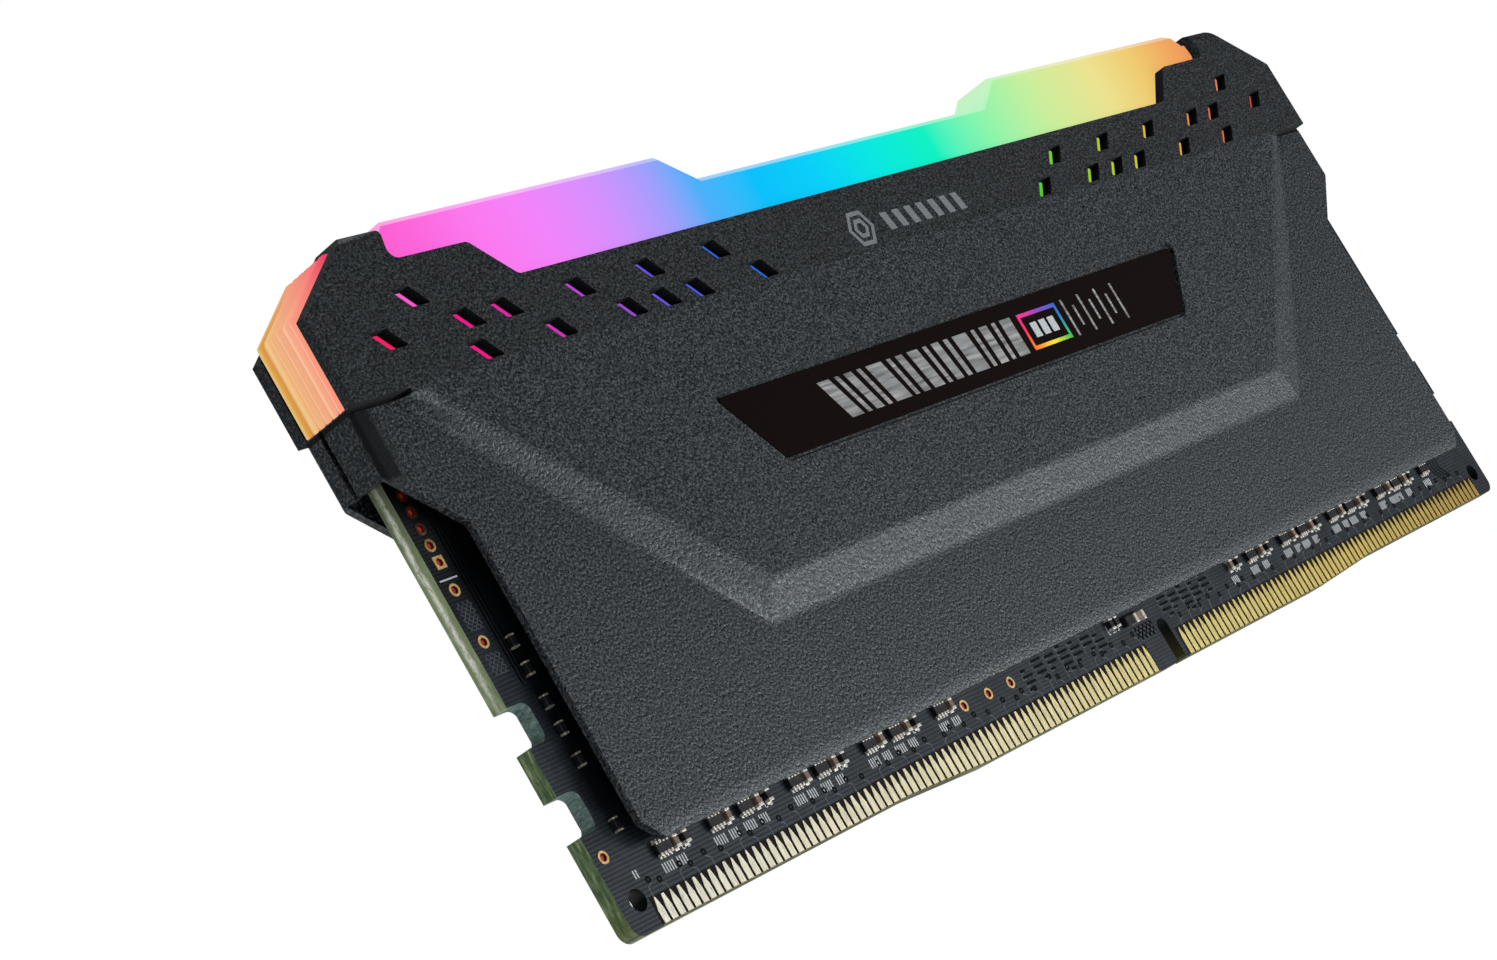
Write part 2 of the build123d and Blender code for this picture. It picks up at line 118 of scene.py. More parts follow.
class Graph:
    """A material's node graph, with its Principled shader and the point's place in the row frame."""

    def __init__(self, name, **settings):
        self.material = bpy.data.materials.new(name)
        self.material.use_nodes = True
        self.tree = self.material.node_tree
        self.shader = self.tree.nodes["Principled BSDF"]
        self.place = self.tree.nodes.new("ShaderNodeTexCoord").outputs["Object"]
        for socket, value in settings.items():
            self.shader.inputs[socket.replace("_", " ")].default_value = value

    def put(self, target, value):
        """Link a socket to a target, or set the target to a constant."""
        if isinstance(value, bpy.types.NodeSocket):
            self.tree.links.new(value, target)
        else:
            target.default_value = value

    def to_shader(self, socket, value):
        """Give one of the Principled shader's sockets a value."""
        self.put(self.shader.inputs[socket], value)

    def maths(self, operation, first, second=0.0, third=0.0):
        """One Math node."""
        node = self.tree.nodes.new("ShaderNodeMath")
        node.operation = operation
        for target, value in zip(node.inputs, (first, second, third)):
            self.put(target, value)
        return node.outputs[0]

    def times(self, *factors):
        """Product of two or more factors."""
        product = factors[0]
        for factor in factors[1:]:
            product = self.maths("MULTIPLY", product, factor)
        return product

    def size_of(self, value):
        """The value without its sign."""
        return self.maths("ABSOLUTE", value)

    def split(self, vector):
        """The three parts of a vector."""
        node = self.tree.nodes.new("ShaderNodeSeparateXYZ")
        self.put(node.inputs[0], vector)
        return node.outputs

    def normal(self):
        """The three parts of the surface's normal."""
        return self.split(self.tree.nodes.new("ShaderNodeNewGeometry").outputs["Normal"])

    def stretched(self, x, y, z):
        """The point's place with each axis scaled, for a grain that runs one way."""
        node = self.tree.nodes.new("ShaderNodeMapping")
        self.put(node.inputs["Vector"], self.place)
        node.inputs["Scale"].default_value = (x, y, z)
        return node.outputs[0]

    def noise(self, grain, detail=2.0, roughness=0.5, vector=None):
        """Noise with features of about this size in millimetres."""
        node = self.tree.nodes.new("ShaderNodeTexNoise")
        self.put(node.inputs["Vector"], vector or self.place)
        node.inputs["Scale"].default_value = 1.0 / (grain * MM)
        node.inputs["Detail"].default_value = detail
        node.inputs["Roughness"].default_value = roughness
        return node.outputs["Fac"]

    def span(self, value, low, high, to_low=0.0, to_high=1.0):
        """Carry a value from one range to another, held at both ends."""
        node = self.tree.nodes.new("ShaderNodeMapRange")
        for target, number in zip(node.inputs, (value, low, high, to_low, to_high)):
            self.put(target, number)
        return node.outputs[0]

    def fade(self, length, limits, to_low=0.0, to_high=1.0):
        """Carry a length between two limits in millimetres, from 0 at the first to 1 at the second."""
        return self.span(length, limits[0] * MM, limits[1] * MM, to_low, to_high)
    def ramp(self, factor, stops):
        """Colours along a factor; stops are (position, linear colour)."""
        node = self.tree.nodes.new("ShaderNodeValToRGB")
        self.put(node.inputs[0], factor)
        marks = node.color_ramp.elements
        while len(marks) < len(stops):
            marks.new(0.5)
        for mark, (position, colour) in zip(marks, stops):
            mark.position = position
            mark.color = colour
        return node.outputs[0]

    def mix(self, factor, first, second):
        """A colour between two, from the first at 0 to the second at 1."""
        node = self.tree.nodes.new("ShaderNodeMix")
        node.data_type = "RGBA"
        self.put(node.inputs[0], factor)
        self.put(node.inputs[6], first)
        self.put(node.inputs[7], second)
        return node.outputs[2]

    def bump(self, height, depth, strength=1.0, over=None):
        """Bump from a height of 0 to 1 that stands for this depth in millimetres, over any earlier bump."""
        node = self.tree.nodes.new("ShaderNodeBump")
        self.put(node.inputs["Height"], height)
        if over is not None:
            self.put(node.inputs["Normal"], over)
        node.inputs["Distance"].default_value = depth * MM
        node.inputs["Strength"].default_value = strength
        self.put(self.shader.inputs["Normal"], node.outputs[0])
        return node.outputs[0]

PAINTED_SHADE_BLACK = (0.0004, 0.0004, 0.0005, 1)
COAT_DARK = (0.0005, 0.0006, 0.0008, 1)
COAT_MID = (0.0135, 0.0155, 0.019, 1)
COAT_SPECK = (0.08, 0.09, 0.102, 1)


def powder_coat():
    """Dark grey powder coat: pebbled, with lighter specks; painted shade darkens the upper wall a little and
    turns it nearly black in the vents, the window, the groove under the upper wall and round the left end
    flange's bend.
    """
    g = Graph("powder_coat", Roughness=0.5, Specular_IOR_Level=0.5, Specular_Tint=(0.82, 0.95, 1.0, 1.0))
    x, y, z = g.split(g.place)
    pebbles = g.noise(0.25, detail=1.5, roughness=0.6)
    specks = g.span(g.noise(0.21, detail=0.0), 0.50, 0.68)
    ground = g.ramp(pebbles, [(0.36, COAT_DARK), (0.64, COAT_MID)])
    lit = g.mix(g.times(specks, 0.7), ground, COAT_SPECK)
    # painted shade: the upper wall is a little darker
    lit = g.mix(g.fade(z, (39.4, 39.6), 0.0, 0.45), lit, COAT_DARK)
    # painted shade, nearly black, on the cut walls of the vents and the window
    sideways = g.span(g.size_of(g.normal()[1]), 0.6, 0.4)
    above_vents_foot = g.fade(z, (39.3, 39.6))
    below_window_top = g.fade(z, (48.8, 48.5))
    inboard = g.fade(g.size_of(x), (64.2, 63.9))
    dark = g.times(sideways, above_vents_foot, below_window_top, inboard)
    # painted shade in the groove under both ends of the upper wall
    groove = g.times(g.fade(z, (39.02, 39.06)), g.fade(z, (39.45, 39.41)), g.fade(g.size_of(x), (62.1, 62.3)))
    dark = g.maths("MAXIMUM", dark, groove)
    # painted shade: a ragged, nearly black band round the bend of the left end flange, where the coat is also
    # duller
    uneven = g.maths("MULTIPLY_ADD", g.noise(0.5, detail=4.0, roughness=0.7), 0.9 * MM, -0.45 * MM)
    to_end = g.maths("ADD", g.maths("SUBTRACT", x, shell_low.x * MM), uneven)
    round_bend = g.times(g.fade(to_end, (2.2, 1.3)), g.fade(g.maths("ADD", y, uneven), (-1.9, -2.2)))
    flange_height = g.times(g.fade(z, (33.4, 34.2)), g.fade(z, (39.3, 39.1)))
    dark = g.maths("MAXIMUM", dark, g.times(round_bend, flange_height))
    g.to_shader("Base Color", g.mix(dark, lit, PAINTED_SHADE_BLACK))
    rough = g.span(pebbles, 0.35, 0.65, 0.34, 0.6)
    g.to_shader("Roughness", g.maths("MAXIMUM", rough, dark))
    # the sheet curls in a little at its foot
    short_of_flat = g.maths("SUBTRACT", 1.0, g.fade(z, (shell_low.z, shell_low.z + 1.3)))
    foot = g.bump(g.maths("SUBTRACT", 1.0, g.maths("POWER", short_of_flat, 2.0)), 0.1, 1.0)
    g.bump(pebbles, 0.08, 0.95, foot)
    return g.material


def mask_face(g, x, z, blotch, cloth, along):
    """The mask's colour on the board's faces, with painted shade: darker towards the board's right end, and
    nearly black beside the shells and high up.
    """
    face = g.ramp(blotch, [(0.3, srgb(17, 21, 27)), (0.7, srgb(29, 34, 42))])
    # painted shade: darker towards the board's right end
    face = g.mix(g.span(along, 0.1, 1.0, 0.0, 0.9), face, srgb(6, 9, 13))
    threads = g.span(g.maths("MULTIPLY_ADD", g.noise(0.7, detail=3.0), 2.6, cloth), 0.3, 2.6)
    woven = g.span(g.noise(2.6, detail=2.0), 0.35, 0.65, 0.15, 0.62)
    face = g.mix(g.times(threads, woven), face, srgb(54, 62, 72))
    # painted shade: nearly black beside the shells and high up on the board
    shade_beside_shell = g.times(g.fade(g.size_of(x), (board_high.x - 1.7, board_high.x - 3.2)),
                           g.fade(z, (7.0, 9.5), 0.0, 0.75))
    shade_high_up = g.fade(z, (21.0, 26.0), 0.0, 0.9)
    return g.mix(g.maths("MAXIMUM", shade_beside_shell, shade_high_up), face, srgb(2, 2, 4))


def board_edge(g, y, z, by_notch):
    """Olive laminate on the board's ends, paler half way up, with a ragged pale painted highlight wandering
    up it, and milled latch notches.
    """
    plies = g.noise(0.42, detail=5.0, roughness=0.7, vector=g.stretched(0.5, 1.5, 0.3))
    edge = g.ramp(plies, [(0.28, srgb(42, 60, 40)), (0.46, srgb(80, 103, 66)),
                          (0.58, srgb(118, 138, 96)), (0.74, srgb(182, 196, 160))])
    edge = g.mix(g.fade(z, (15.0, 20.0), 0.0, 0.55), edge, srgb(170, 184, 142))
    edge = g.mix(g.fade(z, (28.0, 34.0), 0.0, 0.75), edge, srgb(40, 46, 26))
    edge = g.mix(g.fade(z, (4.0, 1.0), 0.0, 0.5), edge, srgb(98, 102, 40))
    # painted highlight: a ragged, pale glossy streak wandering up each end from about 16 mm, weaker near the
    # top
    wander = g.maths("MULTIPLY_ADD", g.noise(2.2, detail=5.0, roughness=0.7), 0.9 * MM, -0.35 * MM)
    off_streak = g.size_of(g.maths("SUBTRACT", y, wander))
    streak = g.times(g.fade(off_streak, (0.36, 0.06)), g.fade(z, (16.0, 21.0)),
                     g.fade(z, (34.0, 29.5), 0.3, 1.0))
    ragged_highlight = g.span(g.noise(0.45, detail=6.0, roughness=0.85, vector=g.stretched(1.0, 1.4, 0.5)), 0.39, 0.5)
    edge = g.mix(g.times(streak, ragged_highlight), edge, srgb(250, 252, 236))
    fibres = g.noise(0.3, detail=4.0, roughness=0.7, vector=g.stretched(0.6, 0.4, 1.4))
    milled = g.ramp(fibres, [(0.3, srgb(54, 74, 70)), (0.55, srgb(104, 128, 122)),
                             (0.75, srgb(160, 180, 174))])
    return g.mix(by_notch, edge, milled)


def solder_mask():
    """Black solder mask over woven glass, with olive laminate on the outer edges, and painted shade on the
    hole walls and up in the key.
    """
    g = Graph("solder_mask", Roughness=0.4, Specular_IOR_Level=0.3, Specular_Tint=(0.8, 0.94, 1.0, 1.0))
    x, y, z = g.split(g.place)
    is_edge = g.span(g.size_of(g.normal()[1]), 0.75, 0.55)
    outward = g.size_of(x)
    at_end = g.fade(outward, (board_high.x - 0.4, board_high.x - 0.3))
    by_notch = g.times(g.fade(outward, (board_high.x - 2.1, board_high.x - 2.0)),
                       g.fade(z, (7.0, 7.5)), g.fade(z, (18.5, 18.0)))
    by_notch = g.times(by_notch, g.maths("SUBTRACT", 1.0, at_end))
    at_foot = g.fade(z, (0.75, 0.6))
    outer = g.maths("MAXIMUM", at_end, g.maths("MAXIMUM", by_notch, at_foot))
    weft = g.maths("SINE", g.times(z, 2 * math.pi / (0.3 * MM)))
    warp = g.maths("SINE", g.times(x, 2 * math.pi / (0.31 * MM)))
    cloth = g.maths("MULTIPLY_ADD", warp, 0.4, weft)
    blotch = g.noise(1.6, detail=3.0)
    along = g.fade(x, (board_low.x, board_high.x))
    # painted shade: every edge but the outer ones, the hole walls, is nearly black
    wall = g.mix(outer, srgb(9, 9, 8), board_edge(g, y, z, by_notch))
    # the key's walls: olive laminate at the foot, fading upward into painted shade, nearly black
    key_wall = g.mix(g.fade(z, (0.9, 2.9)), srgb(58, 52, 4), srgb(3, 4, 2))
    in_key = g.times(g.fade(outward, (60.0, 58.0)), g.fade(z, (0.1, 0.2)))
    wall = g.mix(in_key, wall, key_wall)
    g.to_shader("Base Color", g.mix(is_edge, mask_face(g, x, z, blotch, cloth, along), wall))
    duller = g.span(along, 0.0, 0.9, 0.0, 0.3)
    g.to_shader("Roughness", g.maths("ADD", g.span(blotch, 0.3, 0.7, 0.38, 0.48), duller))
    g.bump(g.span(cloth, -1.4, 1.4), 0.015, 0.5)
    return g.material

def bare_laminate():
    """Brown laminate in the window round the contacts."""
    g = Graph("bare_laminate", Roughness=0.7, Specular_IOR_Level=0.15)
    grain = g.noise(0.3, detail=3.0, vector=g.stretched(1.0, 1.0, 0.3))
    g.to_shader("Base Color", g.ramp(grain, [(0.3, srgb(3, 2, 1)), (0.7, srgb(14, 9, 4))]))
    g.bump(grain, 0.01, 0.4)
    return g.material


def cut_laminate():
    """Pale olive laminate along the bevelled card edge."""
    g = Graph("cut_laminate", Roughness=0.55)
    grain = g.noise(0.25, detail=3.0, vector=g.stretched(0.35, 1.0, 1.0))
    g.to_shader("Base Color", g.ramp(grain, [(0.3, srgb(84, 80, 34)), (0.7, srgb(134, 128, 72))]))
    g.bump(grain, 0.01, 0.4)
    return g.material


def gold():
    """Polished gold plate with faint wiping marks, and a painted reflection that makes it paler at the left
    end than at the right.
    """
    g = Graph("gold_plate", Metallic=0.6, Roughness=0.3)
    wipe = g.noise(0.12, detail=2.0, vector=g.stretched(1.0, 1.0, 0.12))
    along = g.fade(g.split(g.place)[0], (board_low.x, board_high.x))
    # painted reflection: cream at the left end, deeper gold towards the right
    tone = g.ramp(along, [(0.0, srgb(255, 253, 240)), (0.35, srgb(253, 244, 196)),
                          (0.55, srgb(250, 234, 154)), (0.8, srgb(238, 212, 118)),
                          (1.0, srgb(192, 160, 78))])
    g.to_shader("Base Color", g.mix(g.times(wipe, 0.2), tone, srgb(196, 160, 96)))
    g.to_shader("Roughness", g.span(wipe, 0.3, 0.7, 0.26, 0.4))
    g.bump(wipe, 0.003, 0.3)
    return g.material


def ring_plating():
    """Gold plate on the rings, with painted shade turning it dark red towards the top of the board."""
    g = Graph("ring_plating", Metallic=0.45, Roughness=0.3)
    tone = g.noise(0.15, detail=2.0)
    bright = g.ramp(tone, [(0.3, srgb(234, 176, 92)), (0.7, srgb(255, 226, 162))])
    # painted shade: the rings high on the board go dark red
    shade_up_high = g.fade(g.split(g.place)[2], (28.6, 30.6), 0.0, 0.95)
    g.to_shader("Base Color", g.mix(shade_up_high, bright, srgb(70, 16, 9)))
    g.to_shader("Roughness", g.span(tone, 0.3, 0.7, 0.24, 0.4))
    g.bump(tone, 0.006, 0.4)
    return g.material


def plain_metal(name, low, high, roughness=0.3, grain=0.15, metallic=0.9):
    """A metal with a fine uneven tone between two colours."""
    g = Graph(name, Metallic=metallic, Roughness=roughness)
    tone = g.noise(grain, detail=2.0)
    g.to_shader("Base Color", g.ramp(tone, [(0.3, low), (0.7, high)]))
    g.to_shader("Roughness", g.span(tone, 0.3, 0.7, roughness * 0.8, roughness * 1.3))
    g.bump(tone, 0.006, 0.4)
    return g.material


def mottled(name, low, high, roughness=0.5, grain=0.2, depth=0.01, **settings):
    """A moulded or glazed body with a fine uneven tone between two colours."""
    g = Graph(name, Roughness=roughness, **settings)
    tone = g.noise(grain, detail=3.0)
    g.to_shader("Base Color", g.ramp(tone, [(0.3, low), (0.7, high)]))
    g.to_shader("Roughness", g.span(tone, 0.3, 0.7, roughness * 0.9, roughness * 1.15))
    g.bump(tone, depth, 0.4)
    return g.material


BAR_HUES = (  # distance from the left end, the bar's face, and the bar deep inside the vents
    (4.0, (255, 84, 190), (250, 36, 98)),
    (13.0, (255, 101, 219), (250, 24, 138)),
    (20.0, (254, 122, 242), (226, 44, 178)),
    (26.0, (246, 132, 252), (190, 70, 214)),
    (34.0, (214, 145, 255), (112, 84, 230)),
    (40.0, (165, 158, 254), (62, 92, 236)),
    (45.0, (78, 176, 252), (38, 108, 240)),
    (52.0, (4, 193, 252), (20, 124, 240)),
    (60.0, (1, 209, 252), (14, 180, 220)),
    (68.0, (1, 233, 228), (12, 214, 180)),
    (77.0, (10, 243, 194), (24, 220, 110)),
    (86.0, (140, 246, 172), (52, 216, 52)),
    (96.0, (203, 239, 156), (150, 214, 40)),
    (106.0, (236, 227, 144), (226, 206, 48)),
    (114.0, (240, 203, 112), (236, 168, 60)),
    (121.0, (242, 166, 94), (238, 118, 62)),
    (130.0, (240, 120, 84), (226, 70, 56)),
)

# colours across the bar's ends, from front to back: on the ribs, with painted highlights and shade among
# them, and up under the strap
END_RIBS = ((0.0, (255, 152, 130)), (0.24, (250, 172, 136)), (0.3, (255, 200, 160)), (0.36, (244, 172, 132)),
            (0.6, (242, 182, 128)), (0.66, (240, 176, 112)), (0.76, (246, 204, 146)), (0.84, (216, 152, 56)),
            (0.9, (222, 164, 76)), (1.0, (244, 206, 142)))
END_TOPS = ((0.0, (240, 70, 106)), (0.25, (248, 118, 122)), (0.5, (243, 134, 122)), (0.75, (247, 148, 120)),
            (1.0, (240, 170, 130)))


def lit_bar():
    """Frosted moulding that glows in a band of hues, paler along its chamfers, with orange ribbed ends that
    carry painted highlights along their ribs.
    """
    g = Graph("lit_bar", Roughness=0.45, Specular_IOR_Level=0.05)
    length = board_high.x - board_low.x
    x, y, z = g.split(g.place)
    along = g.fade(x, (board_low.x, board_high.x))
    face = g.ramp(along, [(distance / length, srgb(*pale)) for distance, pale, deep in BAR_HUES])
    deep = g.ramp(along, [(distance / length, srgb(*deep)) for distance, pale, deep in BAR_HUES])
    below_window = g.fade(z, (45.4, 44.6))
    skin = g.mix(below_window, face, deep)
    on_top = g.span(g.normal()[2], 0.25, 0.6)
    haze = g.noise(5.0, detail=1.0)
    paler = g.times(on_top, g.span(haze, 0.3, 0.7, 0.26, 0.36))
    skin = g.mix(paler, skin, (1.0, 0.97, 0.95, 1))
    # ribbed ends: salmon at the front, amber at the back, redder where they run up under the strap
    across = g.fade(y, (bar_low.y, bar_high.y))
    ribs = g.ramp(across, [(position, srgb(*colour)) for position, colour in END_RIBS])
    redder = g.ramp(across, [(position, srgb(*colour)) for position, colour in END_TOPS])
    ends = g.mix(g.fade(z, (46.8, 50.2)), ribs, redder)
    # painted highlights: pale lines along the rib grooves
    rib_groove = g.maths("PINGPONG", g.times(across, 6.0), 0.5)
    between = g.times(g.span(across, 0.06, 0.09), g.span(across, 0.97, 0.94))
    ends = g.mix(g.times(between, g.span(rib_groove, 0.13, 0.02, 0.0, 0.6)), ends, srgb(255, 214, 178))
    outward = g.size_of(x)
    at_end = g.fade(outward, (60.2, 62.0))
    facing_out = g.span(g.size_of(g.normal()[0]), 0.3, 0.5)
    on_slope = g.fade(g.maths("MULTIPLY_ADD", outward, 0.675, z), (91.2, 91.6))
    rib_end = g.times(at_end, g.maths("MAXIMUM", facing_out, on_slope))
    skin = g.mix(rib_end, skin, ends)
    g.to_shader("Base Color", g.mix(0.92, skin, (0.001, 0.001, 0.001, 1)))
    underside = g.maths("MAXIMUM", g.span(g.normal()[2], -0.3, -0.6), g.fade(z, (40.1, 39.7)))
    unlit = g.times(underside, g.maths("SUBTRACT", 1.0, rib_end))
    g.to_shader("Emission Color", g.mix(unlit, skin, (0.004, 0.002, 0.003, 1)))
    g.shader.inputs["Emission Strength"].default_value = 0.92
    cloud = g.noise(1.2, detail=2.0)
    g.to_shader("Roughness", g.span(cloud, 0.3, 0.7, 0.28, 0.38))
    g.bump(g.noise(0.5, detail=2.0), 0.006, 0.3)
    return g.material


def ink_and_glow(name, colour, glow=0.0, roughness=0.45):
    """Printed ink with a faint screen grain. With a glow, the same grained colour shines as painted light."""
    g = Graph(name, Roughness=roughness)
    grain = g.noise(0.09, detail=1.0)
    worn = tuple(0.72 * c for c in colour[:3]) + (1.0,)
    g.to_shader("Base Color", g.ramp(grain, [(0.3, worn), (0.6, colour)]))
    # painted light: a glow for a surface that is no lamp
    if glow:
        g.to_shader("Emission Color", colour)
        g.shader.inputs["Emission Strength"].default_value = glow
    g.bump(grain, 0.004, 0.3)
    return g.material


def foil():
    """Brushed silver foil print."""
    g = Graph("silver_foil", Metallic=0.75, Roughness=0.32)
    brushed = g.noise(0.5, detail=2.0, vector=g.stretched(0.12, 1.0, 1.6))
    g.to_shader("Base Color", g.ramp(brushed, [(0.3, srgb(176, 178, 180)), (0.7, srgb(236, 237, 238))]))
    g.to_shader("Roughness", g.span(brushed, 0.3, 0.7, 0.25, 0.42))
    g.bump(brushed, 0.004, 0.4)
    return g.material


def spectrum_ink():
    """The small frame's print, whose hue runs round with the angle about the frame's middle, with a faint
    painted glow.
    """
    g = Graph("spectrum_ink", Roughness=0.4)
    x, y, z = g.split(g.place)
    up = g.times(g.maths("SUBTRACT", z, FRAME_MID[1] * MM), 1.8)
    turn = g.maths("ARCTAN2", up, g.maths("SUBTRACT", x, FRAME_MID[0] * MM))
    around = g.span(turn, -math.pi, math.pi)
    hues = [(0.0, (232, 40, 70)), (0.125, (240, 120, 30)), (0.25, (246, 220, 40)), (0.375, (60, 182, 66)),
            (0.5, (24, 140, 170)), (0.625, (50, 90, 200)), (0.75, (140, 60, 176)), (0.875, (230, 40, 140)),
            (1.0, (232, 40, 70))]
    colour = g.ramp(around, [(position, srgb(*hue)) for position, hue in hues])
    g.to_shader("Base Color", colour)
    # painted light: the print glows a little
    g.to_shader("Emission Color", colour)
    g.shader.inputs["Emission Strength"].default_value = 0.25
    g.bump(g.noise(0.09), 0.004, 0.3)
    return g.material


FRAME_MID = (from_left(76.27), 29.12)     # middle of the small framed print, X and Z

finish = {
    "shell_coat": powder_coat(),
    "pcb_mask": solder_mask(),
    "contact_gold": gold(),
    "ring_copper": ring_plating(),
    "chip_epoxy": mottled("chip_epoxy", srgb(22, 22, 24), srgb(34, 34, 36), 0.55, 0.12),
    "led_lens": mottled("led_lens", srgb(226, 222, 206), srgb(244, 242, 232), 0.3, 0.4),
    "resistor_body": mottled("resistor_body", srgb(14, 14, 17), srgb(32, 32, 38), 0.3, 0.15),
    "capacitor_body": mottled("capacitor_body", srgb(104, 84, 70), srgb(146, 122, 104), 0.35, 0.15),
    "pad_silicone": mottled("pad_silicone", srgb(120, 132, 142), srgb(150, 160, 168), 0.8, 0.5, 0.05),
    "plate_ink": mottled("plate_ink", srgb(15, 7, 7), srgb(22, 12, 11), 0.3, 0.15, 0.004,
                         Specular_IOR_Level=0.08),
    "bar_diffuser": lit_bar(),
}
bare = bare_laminate()
cut = cut_laminate()
tin = plain_metal("tinned_end", srgb(196, 192, 182), srgb(255, 253, 244), 0.3, 0.12, 0.5)
white_ink = ink_and_glow("white_print", srgb(208, 214, 218))
grey_ink = ink_and_glow("grey_print", srgb(128, 133, 137))
silver = foil()
spectrum = spectrum_ink()
# pale mask over copper for the tracks and hatching; also painted highlights, the rims of the winding tracks
pale_trace_and_highlight = mottled("mask_over_copper_and_highlight", srgb(62, 70, 78), srgb(92, 102, 110), 0.4, 0.3)
# near black: the small vias and long tracks, and painted shadows for the winding tracks and the hatching by
# the key
dark_track_and_shadow = mottled("mask_over_track_and_shadow", srgb(2, 3, 5), srgb(6, 8, 11), 0.5, 0.3, Specular_IOR_Level=0.05)
# painted shade: the copper in the holes darkened to a dark red-brown
barrel = mottled("hole_barrel", srgb(54, 12, 6), srgb(96, 26, 12), 0.5, 0.2)
# painted shade: a darker copy of the tin, for the ends of the parts by the board's ends
shaded_tin = plain_metal("shaded_tinned_end", srgb(96, 92, 80), srgb(226, 220, 196), 0.35, 0.2, 0.5)
# painted light: an orange-red glow in the holes, as of light shining through them
hole_glow = ink_and_glow("glow_in_hole", srgb(176, 46, 8), 0.16)

# ---- mesh building -----------------------------------------------------------------------


class Shapes:
    """Closed shapes collected into one piece. All lengths are in millimetres in the row frame."""

    def __init__(self):
        self.points = []
        self.faces = []

    def rings(self, *layers):
        """A closed solid through outlines of equal length, capped at both ends."""
        start, count = len(self.points), len(layers[0])
        for layer in layers:
            self.points += layer
        for i in range(len(layers) - 1):
            low = start + i * count
            for j in range(count):
                k = (j + 1) % count
                self.faces.append((low + j, low + k, low + count + k, low + count + j))
        self.faces.append(tuple(range(start + count - 1, start - 1, -1)))
        last = start + (len(layers) - 1) * count
        self.faces.append(tuple(range(last, last + count)))

    def slab(self, outline, foot, height, toward=-1):
        """An (x, z) outline that stands on the plane y = foot, this high towards -Y or +Y."""
        top = foot + toward * height
        self.rings([(x, foot, z) for x, z in outline], [(x, top, z) for x, z in outline])

    def block(self, middle, size):
        """A box with its middle at (x, y, z)."""
        x, y, z = middle
        a, b, c = (s / 2 for s in size)
        self.slab([(x - a, z - c), (x + a, z - c), (x + a, z + c), (x - a, z + c)], y + b, 2 * b)

    def ribbon(self, path, section, foot, toward=-1):
        """A flat track along an open (x, z) path; its section is its width and height."""
        width, height = section
        left, right = [], []
        for i, point in enumerate(path):
            before = Vector(path[max(i - 1, 0)])
            after = Vector(path[min(i + 1, len(path) - 1)])
            here = Vector(point)
            ways = [way.normalized() for way in (here - before, after - here) if way.length > 1e-6]
            way = sum(ways, Vector((0, 0))).normalized()
            reach = width / 2 / max(way.dot(ways[0]), 0.5)
            across = Vector((-way.y, way.x)) * reach
            left.append(tuple(here + across))
            right.append(tuple(here - across))
        self.slab(left + right[::-1], foot, height, toward)

    def tube(self, middle, outer, inner, foot, height, sides=28, toward=-1):
        """A ring about an axis along Y, open through its middle."""
        start = len(self.points)
        x, z = middle
        top = foot + toward * height
        for radius, y in ((outer, foot), (outer, top), (inner, top), (inner, foot)):
            for i in range(sides):
                turn = 2 * math.pi * i / sides
                self.points.append((x + radius * math.cos(turn), y, z + radius * math.sin(turn)))
        for band in range(4):
            low, high = start + band * sides, start + (band + 1) % 4 * sides
            for i in range(sides):
                j = (i + 1) % sides
                self.faces.append((low + i, low + j, high + j, high + i))

    def disc(self, middle, radius, foot, height, sides=24, toward=-1):
        """A round plug about an axis along Y."""
        x, z = middle
        turns = [2 * math.pi * i / sides for i in range(sides)]
        self.slab([(x + radius * math.cos(t), z + radius * math.sin(t)) for t in turns],
                  foot, height, toward)

    def piece(self, name, material, slot, bevel=0.0, stands_for=()):
        """Make the piece, ride it on the module, and hide the CAD nodes it stands for."""
        mesh = bpy.data.meshes.new(name)
        mesh.from_pydata([(x * MM, y * MM, z * MM) for x, y, z in self.points], [], self.faces)
        mesh.update()
        made = bpy.data.objects.new(name, mesh)
        bpy.context.scene.collection.objects.link(made)
        turn_outward(mesh)
        made.data.materials.append(material)
        if bevel:
            soften(made, bevel, 2)
        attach(made, "root")
        if stands_for:
            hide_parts(*stands_for)
        return made


def turn_outward(mesh):
    """Make every face of the closed shapes look outward."""
    work = bmesh.new()
    work.from_mesh(mesh)
    bmesh.ops.recalc_face_normals(work, faces=work.faces)
    work.to_mesh(mesh)
    work.free()


def soften(obj, width, segments, angle=30):
    """A small rounded edge on every sharp edge."""
    rounding = obj.modifiers.new("rounded_edges", "BEVEL")
    rounding.width = width * MM
    rounding.segments = segments
    rounding.limit_method = "ANGLE"
    rounding.angle_limit = math.radians(angle)


# ---- CAD nodes: finishes, and rounded edges on the shells and the bar --------------------

slots = {entry["node"]: entry["material_slot"] for entry in frame["record"]["subparts"]}
for node_name, node in frame["nodes"].items():
    node.data.materials.clear()
    node.data.materials.append(finish[slots[node_name]])

EDGE_ROUNDING = {
    "heat_spreader_front": 0.1,
    "heat_spreader_back": 0.1,
    "light_bar": 0.12,
    "name_plate": 0.03,
    "rating_label": 0.03,
}
for node_name, width in EDGE_ROUNDING.items():
    node = frame["nodes"][node_name]
    weld = node.modifiers.new("weld", "WELD")
    weld.merge_threshold = 0.002 * MM
    soften(node, width, 2, 25)
# the glowing bar throws no light on the shells
bar = frame["nodes"]["light_bar"]
bar.visible_diffuse = False
bar.visible_glossy = False

# ---- contacts: laminate window round them, and the tracks above them ---------------------

